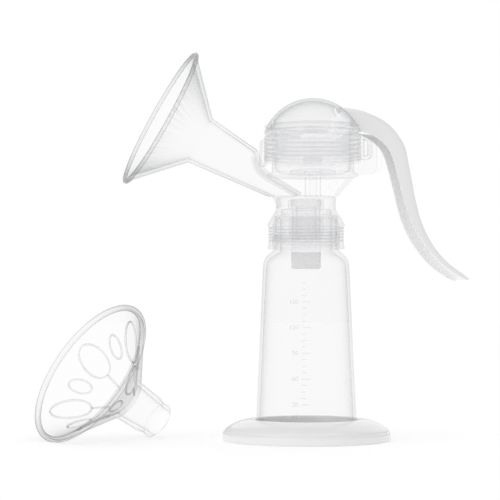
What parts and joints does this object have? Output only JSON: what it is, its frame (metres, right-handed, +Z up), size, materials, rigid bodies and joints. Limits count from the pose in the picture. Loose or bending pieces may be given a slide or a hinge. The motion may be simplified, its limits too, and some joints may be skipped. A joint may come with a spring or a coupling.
{
  "type": "manual breast pump",
  "caption": "Manual breast pump: clear funnel, domed diaphragm chamber and squeeze handle on a threaded bottle in a foot stand, with a petal massage cushion beside it.",
  "frame": {"origin": "centre of the foot stand's underside, on the bottle's axis", "axes": "+Z up along the bottle, the funnel towards -X, the handle towards +X, XZ the pump's plane of symmetry"},
  "size_m": [0.2445, 0.1172, 0.2183],
  "materials": {
    "clear_body": "clear moulded polypropylene, polished",
    "bottle_clear": "clear moulded plastic, polished",
    "white_gloss": "white moulded plastic, glossy",
    "clear_silicone": "clear silicone, satin",
    "milky_silicone": "milky translucent silicone, satin"
  },
  "bodies": {
    "stand": {"foot_stand": "white_gloss"},
    "bottle": {"bottle": "bottle_clear"},
    "seal": {"bottle_seal_ring": "milky_silicone"},
    "pump": {"bottle_collar": "clear_body", "duckbill_valve": "milky_silicone", "breast_funnel": "clear_body", "milk_duct": "clear_body", "pump_chamber": "clear_body", "gusset_web": "clear_body", "handle_bracket": "clear_body", "handle_pivot_pin": "white_gloss", "dome_cap": "clear_body"},
    "rod": {"pull_rod": "clear_body", "diaphragm": "milky_silicone"},
    "handle": {"handle": "white_gloss"},
    "cushion": {"massage_cushion": "clear_silicone"}
  },
  "joints": [
    {"name": "bottle_lift", "type": "slide", "parent": "stand", "child": "bottle", "axis": [0, 0, 1], "range_m": [0, 0.03]},
    {"name": "pump_rise", "type": "slide", "parent": "bottle", "child": "seal", "axis": [0, 0, 1], "range_m": [0, 0.0067]},
    {"name": "pump_turn", "type": "hinge", "parent": "seal", "child": "pump", "pos_m": [0, 0, 0.118], "axis": [0, 0, 1], "range_deg": [0, 540]},
    {"name": "handle_squeeze", "type": "hinge", "parent": "pump", "child": "handle", "pos_m": [0.036, 0, 0.179], "axis": [0, 1, 0], "range_deg": [0, 15], "stiffness_Nm_per_rad": 1.5, "springref_deg": -2.86},
    {"name": "rod_lift", "type": "slide", "parent": "pump", "child": "rod", "axis": [0, 0, 1], "range_m": [0, 0.0087], "deforming": ["diaphragm"]},
    {"name": "cushion_slide", "type": "slide", "parent": "stand", "child": "cushion", "axis": [-1, 0, 0], "range_m": [0, 0.05]}
  ],
  "couplings": [
    {"joint": "pump_rise", "follows": "pump_turn", "m_per_rad": 0.00070028},
    {"joint": "rod_lift", "follows": "handle_squeeze", "m_per_rad": 0.0323}
  ]
}
